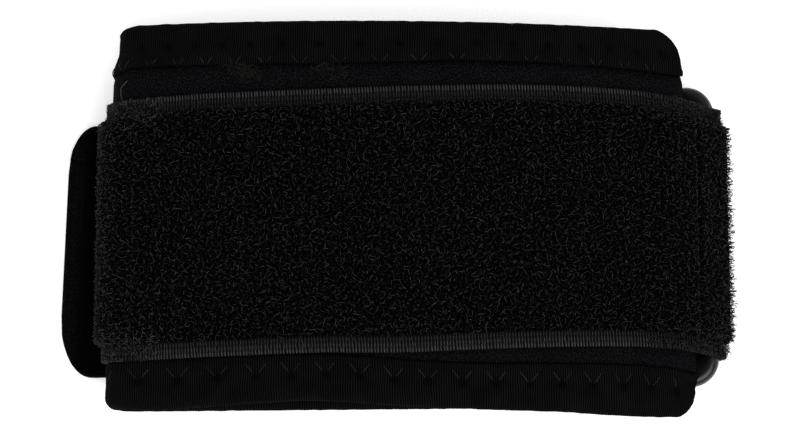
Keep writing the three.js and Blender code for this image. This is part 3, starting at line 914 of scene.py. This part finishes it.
class ELBOW_OT_strap(Operator):
    """Woven ground of the strap, the bed of its pile and the weft yarns of its two selvedges"""

    bl_idname = "elbow.strap"
    bl_label = "Strap"

    def execute(self, context):
        self.ground()
        self.bed()
        self.selvedges()
        return {"FINISHED"}

    def ground(self):
        """A tape with rounded edges carried along the whole course."""
        edge = STRAP_BACKING / 2
        turn = np.linspace(-np.pi / 2, np.pi / 2, 7)
        bend = np.stack([HALF_STRAP - edge + edge * np.cos(turn), edge + edge * np.sin(turn)], axis=1)
        profile = subdivide(np.concatenate([bend, bend[::-1] * [-1, 1]]), 5.0)
        stations = np.unique(np.concatenate([np.linspace(0, TIP_DEPTH, 24), strap_stations(TIP_DEPTH)]))
        points = strap_point(*spread(stations, profile))
        carry("strap_ground", stations, profile, points, woven_nylon(colours()), ["strap"])

    def bed(self):
        """The solid lower part of the pile, 0.3 mm below the strands' tops, uneven by 0.15 mm."""
        span = HALF_PILE - 0.1
        turn = np.linspace(0, np.pi / 2, 6)
        rim = np.stack([span - PILE_SHOULDER * (1 - np.cos(turn)), np.full(6, STRAP_BACKING)], axis=1)
        top = np.linspace(rim[-1, 0], -rim[-1, 0], 54)
        top = np.stack([top, np.full(54, STRAP_BACKING + PILE_HEIGHT)], axis=1)
        floor_line = np.array([[-span, STRAP_BACKING - 0.15], [span, STRAP_BACKING - 0.15]])
        profile = np.concatenate([floor_line, rim[:-1], top, (rim[:-1] * [-1, 1])[::-1]])
        stations = strap_stations(TAB_LENGTH + 0.4)
        along, across, up = spread(stations, profile)
        fur = ripple(along, across, 1.6, 5) * 0.09 + ripple(along, across, 5.0, 6) * 0.07
        top_up = np.maximum(STRAP_BACKING, pile_top(along, across) - 0.3 + fur)
        up = np.where(up < STRAP_BACKING - 0.1, STRAP_BACKING - 0.15, top_up)
        points = strap_point(along, across, up)
        carry("strap_pile_bed", stations, profile, points, pile_bed(colours()), ["strap"])

    def selvedges(self):
        """Weft yarns as bars across the border, each of three rods, painted shade darkening them towards
        the pile.
        """
        pitch = cloth().rib_pitch / MM
        material = yarn("nylon weft yarn", colours().selvedge, 0.5, 0.12)
        row_width = SELVEDGE / 3
        # Rows' brightness from the pile outwards: painted shade, darker towards the pile and on the upper
        # side.
        for name, side, rows in (
            ("upper_selvedge", 1, np.array([0.1, 0.25, 0.8])),
            ("lower_selvedge", -1, np.array([0.3, 0.55, 0.85]))
        ):
            rng = random_numbers(side)
            places = np.arange(TAB_LENGTH + 0.8, LAY["strap"].length - 0.4, pitch)
            row = np.repeat([0, 1, 2], len(places))[:, None]
            along = np.tile(places, 3)[:, None] + rng.normal(0, 0.03, (3 * len(places), 1))
            share = np.array([-1, 0, 1])
            middle = HALF_PILE + row_width * (row + 0.5) - 0.02
            half = row_width * rng.uniform(0.5, 0.62, middle.shape)
            across = side * np.minimum(middle + half * share, HALF_STRAP - 0.08)
            up = STRAP_BACKING + 0.1 - 0.12 * share**2 + 0.03 * rng.normal(0, 1, middle.shape)
            # The bars lean a little, as a tape's weft does where it is pulled.
            lean = along - side * 0.06 * (row + share) + rng.normal(0, 0.03, along.shape)
            shade = rows[row[:, 0]] * rng.uniform(0.7, 1.1, len(row))
            shade = shade * (1 - 0.8 * bent_share(along[:, 0]))
            lines = lines_on("strap", lean, across, up)
            tubes(name, lines, WEFT_RADIUS, 4, material, ["strap"], flat=0.8, shade=shade)


def bent_share(along):
    """How far the border is brushed to fuzz: 1 round the fold and the ring, 0 on the front."""
    run = along - LAY["fold_start"]
    return np.clip(1 - ease(run, 18, 26) + ease(run, 112, 124), 0, 1) * (run > 2)


def even_places(rng, count, length, width):
    """Shares along and across and a level from 0 to 1 for about so many strands, without clumps.

    The grid's cells are nearly square. Each holds one strand, at random in it, and each block of two
    by two cells has one strand from each quarter of the levels.
    """
    columns = max(1, round(np.sqrt(count * length / width) / 2))
    rows = max(1, round(count / columns / 4))
    block = np.repeat(np.arange(columns * rows), 4)
    cell = np.tile(np.arange(4), columns * rows)
    quarter = rng.permuted(cell.reshape(-1, 4), axis=1).ravel()
    shift = rng.uniform(0, 1, (3, block.size))
    along = (block % columns + (cell % 2 + shift[0]) / 2) / columns
    across = (block // columns + (cell // 2 + shift[1]) / 2) / rows
    return along, across, (quarter + shift[2]) / 4


def pile_strands(name, start, stop, count, seed, lift, material, borders=0.0):
    """Curly strands over a stretch of the pile, or over both of its borders, so bright.

    A strand's heading grows evenly along it, so it is part of a circle; its height is a base plus a
    rise times sin(pi t), with both ends down in the bed.
    """
    settings = cloth()
    rng = np.random.default_rng(settings.seed * 1000 + seed)
    along, across, level = even_places(rng, count, stop - start, 2 * HALF_PILE + 1.2)
    count = len(level)
    along = start + (stop - start) * along
    across = -HALF_PILE - 0.2 + (2 * HALF_PILE + 1.2) * across
    low, high = -HALF_PILE - 0.5, HALF_PILE + 1.5
    if borders:
        across = np.sign(across) * (HALF_STRAP - 0.1 - np.abs(rng.normal(0, 2.6, count)))
        low, high = -HALF_STRAP - 0.1, HALF_STRAP + 0.1
    turn = rng.uniform(0, 2 * np.pi, count)
    curl = rng.normal(0, 2.6, count)
    length = settings.loop_length / MM * rng.uniform(0.55, 1.5, count)
    t = np.linspace(0, 1, 4)
    angle = turn[:, None] + curl[:, None] * t
    piece = length[:, None] / 3
    step_a = np.cumsum(np.cos(angle) * piece, axis=1)
    step_b = np.cumsum(np.sin(angle) * piece, axis=1)
    a = along[:, None] + step_a - step_a.mean(axis=1, keepdims=True)
    b = across[:, None] + step_b - step_b.mean(axis=1, keepdims=True)
    b = np.clip(b, low, high)
    a = np.clip(a, TAB_LENGTH + 0.6, LAY["strap"].length - 0.1)
    base = (-0.45 + 0.35 * level)[:, None]
    rise = rng.uniform(0.15, 0.4, count)[:, None] + lift * rng.uniform(0, 1, count)[:, None] ** 2
    up = np.maximum(pile_top(a, b), STRAP_BACKING + 0.1) + base + rise * np.sin(np.pi * t)
    radius = settings.loop_radius / MM * rng.uniform(0.8, 1.2, count)[:, None]
    # Only the topmost strands catch the light.
    shade = 0.03 + 0.97 * level**3 * rng.uniform(0.4, 1, count)
    if borders:
        shade = borders * rng.uniform(0.1, 1, count)
    tubes(name, lines_on("strap", a, b, up), radius, 3, material, ["strap"], shade=shade)


class ELBOW_OT_pile(Operator):
    """Brushed loops over the front, the fold and the ring's right loop, and thinner where hidden"""

    bl_idname = "elbow.pile"
    bl_label = "Loop pile"

    def execute(self, context):
        material = loop_fibre(colours())
        fold = LAY["fold_start"]
        fold_end = fold + np.radians(180 - FOLD_RISE) * (FOLD_RADIUS + CLEARANCE) + 2 * FOLD_FLAT
        wrap_end = LAY["wrap_start"] + np.pi * WRAP_RADIUS
        density = cloth().loops_per_cm2 / 100
        # Name, start, stop, strands on a square millimetre, and how far the boldest stand out.
        front = np.linspace(fold_end, LAY["wrap_start"], 5)
        rows = [(f"pile_front_{i + 1}", front[i], front[i + 1], density, 0.0) for i in range(4)]
        rows += [
            ("pile_fold", fold, fold_end + 0.5, density * 1.2, 0.6),
            ("pile_ring_loop", LAY["wrap_start"] - 0.5, wrap_end, density * 1.3, 1.2),
            ("pile_return", wrap_end, LAY["strap"].length, density * 0.2, 0.0),
            ("pile_back", LAY["tail_end"], fold, density * 0.08, 0.0),
            ("pile_tail", TAB_LENGTH + 1, LAY["tail_end"], density * 0.08, 0.0)
        ]
        for seed, (name, start, stop, share, lift) in enumerate(rows):
            count = int((stop - start) * 2 * HALF_PILE * share)
            pile_strands(name, start, stop, count, seed, lift, material)
        # The borders are brushed to fuzz too, at the fold in a paler yarn.
        pale = yarn("brushed nylon ends", colours().stray, 0.6, 0.05)
        for seed, (name, start, stop, bright, lift, material) in enumerate(
            (
                ("brushed_fold_edges", fold + 8, fold + 24, 1.0, 0.2, pale),
                ("brushed_ring_edges", fold + 116, wrap_end - 1, 0.5, 0.9, material)
            )
        ):
            count = int((stop - start) * 2 * SELVEDGE * density * 1.8)
            pile_strands(name, start, stop, count, 20 + seed, lift, material, borders=bright)
        return {"FINISHED"}


def painted_fold_shade(along):
    """Hooks' brightness, painted shade from the fold above: 1 at the tail's end, a tenth 4.6 mm from it.
    """
    return 1 - 0.9 * ease(along, 2.0, 4.6)


class ELBOW_OT_hook_tab(Operator):
    """Hook patch on the tail: a thin base with rounded corners and rows of small hooks"""

    bl_idname = "elbow.hook_tab"
    bl_label = "Hook tab"

    def execute(self, context):
        material = hook_nylon(colours())
        half = HALF_STRAP - CLEARANCE
        low = STRAP_BACKING + 0.05
        high = low + 0.55
        profile = subdivide(np.array([[-half, low], [half, low], [half, high], [-half, high]]), 1.2)
        corner = np.linspace(0.3, TIP_DEPTH, 24)
        stations = np.concatenate([corner, np.linspace(TIP_DEPTH + 1, TAB_LENGTH, 26)])
        along, across, up = spread(stations, profile)
        points = strap_point(along, across, up)
        # The strand attribute holds the painted shade from the fold above.
        carry("hook_patch", stations, profile, points, material, ["hook_tab"], painted_fold_shade(along))
        self.hooks(material, high)
        return {"FINISHED"}

    def hooks(self, material, floor_up):
        """Each hook rises straight, then turns over in a little more than half a circle."""
        pitch = cloth().hook_pitch / MM
        rng = random_numbers(40)
        a = np.arange(1.1, TAB_LENGTH - 0.5, pitch)
        file_pitch = pitch * 0.85
        b = np.arange(-HALF_STRAP + 1.0, HALF_STRAP - 0.9, file_pitch)
        a, b = (v.ravel() for v in np.meshgrid(a, b))
        a = a + rng.normal(0, 0.08, a.size)
        b = b + rng.normal(0, 0.08, b.size)
        facing = np.where(np.round(b / file_pitch) % 2 > 0, 1.0, -1.0)[:, None]
        angle = np.linspace(0, 1.25 * np.pi, 6)
        side_run = np.concatenate([[0, 0], HOOK_CURVE * (1 - np.cos(angle[1:]))])
        rise = STRAP_THICKNESS - floor_up - HOOK_CURVE - HOOK_RADIUS
        height = np.concatenate([[-0.1, rise], rise + HOOK_CURVE * np.sin(angle[1:])])
        along = a[:, None] + facing * side_run
        across = b[:, None] + rng.normal(0, 0.1, a.size)[:, None] * side_run
        up = floor_up + np.broadcast_to(height, along.shape)
        paths = strap_point(along, across, up)
        sideways = np.broadcast_to(np.array([0.0, 1.0, 0.0]), paths.shape)
        lines = (paths, sideways)
        # The hooks get the same painted shade from the fold above.
        tubes("hooks", lines, HOOK_RADIUS, 3, material, ["hook_tab"], shade=painted_fold_shade(a))


class ELBOW_OT_ring(Operator):
    """Moulded rectangular ring: a rounded square bar carried round a rounded rectangle

    The bar is about 3 mm wider inwards on the two short sides.
    """

    bl_idname = "elbow.ring"
    bl_label = "Ring"

    def execute(self, context):
        middle_corner = RING_CORNER - RING_BAR / 2
        reach_x = RING_PITCH / 2 - middle_corner
        reach_y = (RING_ACROSS - RING_BAR) / 2 - middle_corner
        turn = np.linspace(0, np.pi / 2, 14)
        centres = np.array([[1, 1], [-1, 1], [-1, -1], [1, -1]]) * [reach_x, reach_y]
        angle = (turn + np.arange(4)[:, None] * np.pi / 2).ravel()
        centre = np.repeat(centres, len(turn), axis=0)
        outward = np.stack([np.cos(angle), np.sin(angle)], axis=1)
        path = subdivide(centre + middle_corner * outward, 3.0)
        near = np.clip(path, [-reach_x, -reach_y], [reach_x, reach_y])
        outward = (path - near) / np.linalg.norm(path - near, axis=1, keepdims=True)
        # The bar's section: a square with rounded edges and slightly bulged faces.
        around = np.linspace(0, 2 * np.pi, 28, endpoint=False)
        flat = RING_BAR / 2 - RING_ROUNDING
        side = flat * np.tanh(4 * np.cos(around)) + RING_ROUNDING * np.cos(around)
        rise = flat * np.tanh(4 * np.sin(around)) + RING_ROUNDING * np.sin(around)
        side = side * np.where(side < 0, 1 + RING_WIDER * np.abs(outward[:, None, 1]), 1.0)
        x = path[:, None, 0] + outward[:, None, 0] * side
        y = path[:, None, 1] + outward[:, None, 1] * side
        z = np.broadcast_to(rise, x.shape)
        right, left = np.array(LAY["right"]), np.array(LAY["left"])
        tilt = np.arcsin((right[1] - left[1]) / RING_PITCH)
        middle = (right + left) / 2
        tilted_x = middle[0] + SHIFT_X + x * np.cos(tilt) - z * np.sin(tilt)
        tilted_z = middle[1] + x * np.sin(tilt) + z * np.cos(tilt)
        points = np.stack([tilted_x, RING_Y + SHIFT_Y + y, tilted_z], axis=-1)
        rows, count = x.shape
        # The section runs clockwise seen against the path, so the quads are turned over.
        quads = np.roll(skin(1, rows, count, closed=True)[3][:, ::-1], 1, axis=1)
        uv = np.zeros((quads.size, 2))
        points = points.reshape(-1, 3)
        # Painted highlight: 1 on the bar's outer side, 0 on its inner side, for the material's specular
        # level.
        rim = ease(side, -0.15 * RING_BAR, 0.3 * RING_BAR).ravel()
        material = moulded_acetal(colours())
        put_mesh("ring_moulding", points, quads, [], uv, material, ["ring"], rim)
        return {"FINISHED"}


class ELBOW_OT_stitches(Operator):
    """Zigzag thread on both faces of both bindings, and the seam that closes the ring loop

    A part of each leg is sunk in the knit and isn't made.
    """

    bl_idname = "elbow.stitches"
    bl_label = "Stitches"

    def execute(self, context):
        material = yarn("polyester thread", colours().thread, 0.6, 0.14)
        radius = cloth().thread_radius / MM
        for name, side, node in (
            ("upper_zigzag", 1, "upper_binding"), ("lower_zigzag", -1, "lower_binding")
        ):
            _, grid, phase = stitch_phase(np.array([0.0]), side)
            legs = np.arange(np.ceil(phase[0] * 2), np.floor(phase[-1] * 2 - 1)) / 2
            first, last = (0.45, 0.97) if side > 0 else (0.03, 0.7)
            share = np.linspace(first, last, 8)
            outwards = (np.round(legs * 2) % 2 > 0)[:, None]
            steps = legs[:, None] + np.where(outwards, 1 - share[::-1], share) / 2
            along = np.interp(steps, phase, grid)
            line, swing = zigzag_line(steps)
            face = BINDING_PROUD * ease(line, INNER_EDGE - 0.3, INNER_EDGE + 0.35)
            dip, _ = stitch_relief(along, line, side)
            # Both ends of a leg dive into the knit.
            ends = [np.exp(-(((swing - end) / 0.1) ** 2)) for end in (first, last)]
            up = face - dip + 0.6 * radius - 0.45 * (ends[0] + ends[1])
            # The same legs once more, on the band's inner face.
            along = np.tile(along, (2, 1))
            across = side * np.tile(line, (2, 1))
            lines = lines_on("sleeve", along, across, np.concatenate([up, -BAND_WALL - up]))
            shade = random_numbers(90 + side).uniform(0.15, 0.85, len(along))
            tubes(name, lines, radius, 6, material, [node], shade=shade)
        self.seam(yarn("thread sunk in the seam", colours().pile_root, 0.9, 0.01))
        return {"FINISHED"}

    def seam(self, material):
        """Straight stitches 2.4 mm apart in the crease, each with both ends pulled into the pile."""
        places = np.arange(-HALF_PILE + 0.8, HALF_PILE - SEAM_PITCH, SEAM_PITCH)
        t = np.linspace(0, 1, 8)
        across = places[:, None] + 2.1 * t
        along = np.full(across.shape, LAY["neck_start"] + CREASE_WIDTH / 2)
        up = pile_top(along, across) - 0.3 + 0.2 * np.sin(np.pi * t)
        lines = lines_on("strap", along, across, up)
        tubes("seam_stitches", lines, SEAM_RADIUS, 6, material, ["strap"])


class ELBOW_OT_loose_threads(Operator):
    """A pale thread end by the fold, two small snags of the binding and the frayed edge at the ring"""

    bl_idname = "elbow.loose_threads"
    bl_label = "Loose threads"

    def execute(self, context):
        pale = yarn("frayed nylon yarn", colours().stray, 0.6, 0.2)
        dark = yarn("snagged polyester yarn", colours().snag, 0.8, 0.03)
        self.fold_thread(pale)
        self.snag(dark)
        self.frayed_corner(pale)
        return {"FINISHED"}

    def fold_thread(self, material):
        """One thread end lying on the fold above the strap: a smooth line through four places."""
        t = np.linspace(0, 1, 20)
        along = LAY["front_start"] + np.interp(t, [0, 0.3, 0.6, 1], [-2.2, -3.5, -3.5, -3.2])
        across = np.interp(t, [0, 0.3, 0.6, 1], [26.2, 25.0, 23.3, 21.8])
        up = 0.2 + 0.25 * np.sin(np.pi * t)
        lines = lines_on("sleeve", along[None], across[None], up[None])
        dull = np.array([0.6])
        tubes("fold_thread", lines, STRAY_RADIUS, 6, material, [], shade=dull)

    def snag(self, material):
        """Two crumpled tufts of binding yarn: circles of random size and lean, squeezed flat."""
        rng = random_numbers(60)
        count = 250
        place = np.where(np.arange(count) < 180, *SNAG_PLACES)[:, None]
        t = np.linspace(0, 1, 10)
        size = rng.uniform(0.25, 0.75, count)[:, None]
        start = rng.uniform(0, 2 * np.pi, count)[:, None]
        turn = start + rng.uniform(2.0, 5.5, count)[:, None] * t
        run = rng.normal(0, 1, count)[:, None]
        along = LAY["front_start"] + place + 1.8 * run + 1.3 * size * np.cos(turn)
        across = 27.3 - 0.4 * run + rng.normal(0, 0.8, count)[:, None] + size * np.sin(turn)
        up = 0.15 + rng.uniform(0, 0.6, count)[:, None] * np.sin(np.pi * t)
        lines = lines_on("sleeve", along, across, up)
        shade = rng.uniform(0.2, 1, count)
        tubes("binding_snag", lines, SNAG_RADIUS, 3, material, [], shade=shade)

    def frayed_corner(self, material):
        """Short pale filaments that stand out of the strap's lower edge at the ring's bar."""
        rng = random_numbers(80)
        count = 46
        t = np.linspace(0, 1, 7)
        root, lean = rng.uniform(0.0, 3.6, count), rng.normal(0, 0.7, count)
        along = LAY["wrap_start"] + root[:, None] + lean[:, None] * t
        root, lean = rng.uniform(0, 0.9, count), rng.normal(0.5, 0.5, count)
        across = -HALF_PILE - 0.5 - root[:, None] - lean[:, None] * t
        up = STRAP_BACKING + 0.1 + rng.uniform(0.2, 1.1, count)[:, None] * np.sin(np.pi * 0.6 * t)
        lines = lines_on("strap", along, across, up)
        tubes("frayed_corner", lines, FRAY_RADIUS, 3, material, [])


# The place that the camera looks at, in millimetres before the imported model's shift, and the shift of
# its picture as shares of the width.
CAMERA_TARGET = (48.03, 0.0, 12.0)
CAMERA_SHIFT = (0.0041, -0.0013)
FLOOR_REACH = 4.0


class ELBOW_OT_stage(Operator):
    """Pale floor, soft studio lights and the camera at the photo's angle"""

    bl_idname = "elbow.stage"
    bl_label = "Stage"

    def execute(self, context):
        settings = context.scene.elbow_stage
        self.floor()
        self.camera(settings)
        self.lights(settings)
        return {"FINISHED"}

    def floor(self):
        mesh = bpy.data.meshes.new("floor")
        corners = np.array([(-1, -1, 0), (1, -1, 0), (1, 1, 0), (-1, 1, 0)]) * FLOOR_REACH
        mesh.from_pydata(corners.tolist(), [], [(0, 1, 2, 3)])
        mesh.materials.append(studio_paper(colours()))
        floor = bpy.data.objects.new("floor", mesh)
        bpy.context.scene.collection.objects.link(floor)

    def camera(self, settings):
        data = bpy.data.cameras.new("camera")
        data.sensor_width = 36
        data.lens = settings.lens
        data.shift_x, data.shift_y = CAMERA_SHIFT
        data.clip_start, data.clip_end = 0.01, 50
        camera = bpy.data.objects.new("camera", data)
        angle = settings.elevation
        back = np.array([0, -np.cos(angle), np.sin(angle)])
        target = (np.array([SHIFT_X, SHIFT_Y, 0]) + CAMERA_TARGET) * MM
        camera.location = back * settings.distance + target
        camera.rotation_euler = (np.pi / 2 - angle, 0, 0)
        bpy.context.scene.collection.objects.link(camera)
        bpy.context.scene.camera = camera

    def lights(self, settings):
        scene = bpy.context.scene
        white, warm = (1.0, 1.0, 1.0), (1.0, 0.86, 0.8)
        # Name, power, width and colour of each light, and its place in metres; it faces the middle.
        for name, power, size, tint, spot in (
            ("key light", settings.key_power, 0.7, white, (0.25, -0.45, 0.75)),
            ("fill light", settings.fill_power, 0.9, white, (-0.6, 0.35, 0.7)),
            ("side light", settings.side_power, 0.4, warm, (0.75, 0.2, 0.16))
        ):
            data = bpy.data.lights.new(name, "AREA")
            data.energy = power
            data.shape = "SQUARE"
            data.size = size
            data.color = tint
            light = bpy.data.objects.new(name, data)
            light.location = spot
            spot = np.array(spot)
            flat = np.hypot(spot[0], spot[1])
            light.rotation_euler = (np.arctan2(flat, spot[2]), 0, np.arctan2(spot[0], -spot[1]))
            scene.collection.objects.link(light)
        world = bpy.data.worlds.new("studio")
        world.use_nodes = True
        world.node_tree.nodes.clear()
        node = partial(add_node, world.node_tree)
        sky = node("Background", {"Color": (1, 1, 1, 1), "Strength": settings.sky})
        node("OutputWorld", {"Surface": sky})
        scene.world = world
        scene.view_settings.view_transform = "Standard"


PIECES = (
    ELBOW_OT_stage, ELBOW_OT_sleeve, ELBOW_OT_bindings, ELBOW_OT_strap, ELBOW_OT_pile, ELBOW_OT_hook_tab,
    ELBOW_OT_ring, ELBOW_OT_stitches, ELBOW_OT_loose_threads
)


class ELBOW_PT_panel(Panel):
    """Lists the pieces, their sizes and their colours"""

    bl_label = "Elbow strap"
    bl_idname = "ELBOW_PT_panel"
    bl_space_type = "VIEW_3D"
    bl_region_type = "UI"
    bl_category = "Elbow strap"

    def draw(self, context):
        layout = self.layout
        for piece in PIECES:
            layout.operator(piece.bl_idname)
        for group in ("elbow_cloth", "elbow_colours", "elbow_stage"):
            settings = getattr(context.scene, group)
            box = layout.box()
            for name in settings.bl_rna.properties.keys():
                if name not in {"rna_type", "name"}:
                    box.prop(settings, name)


GROUPS = {"elbow_cloth": ClothSettings, "elbow_colours": ColourSettings, "elbow_stage": StageSettings}


def register():
    for kind in (*GROUPS.values(), *PIECES, ELBOW_PT_panel):
        bpy.utils.register_class(kind)
    for name, group in GROUPS.items():
        setattr(bpy.types.Scene, name, PointerProperty(type=group))


def unregister():
    for name in GROUPS:
        delattr(bpy.types.Scene, name)
    for kind in (ELBOW_PT_panel, *reversed(PIECES), *reversed(list(GROUPS.values()))):
        bpy.utils.unregister_class(kind)


def main():
    register()
    for piece in PIECES:
        group, _, action = piece.bl_idname.partition(".")
        getattr(getattr(bpy.ops, group), action)()


if __name__ == "__main__":
    main()
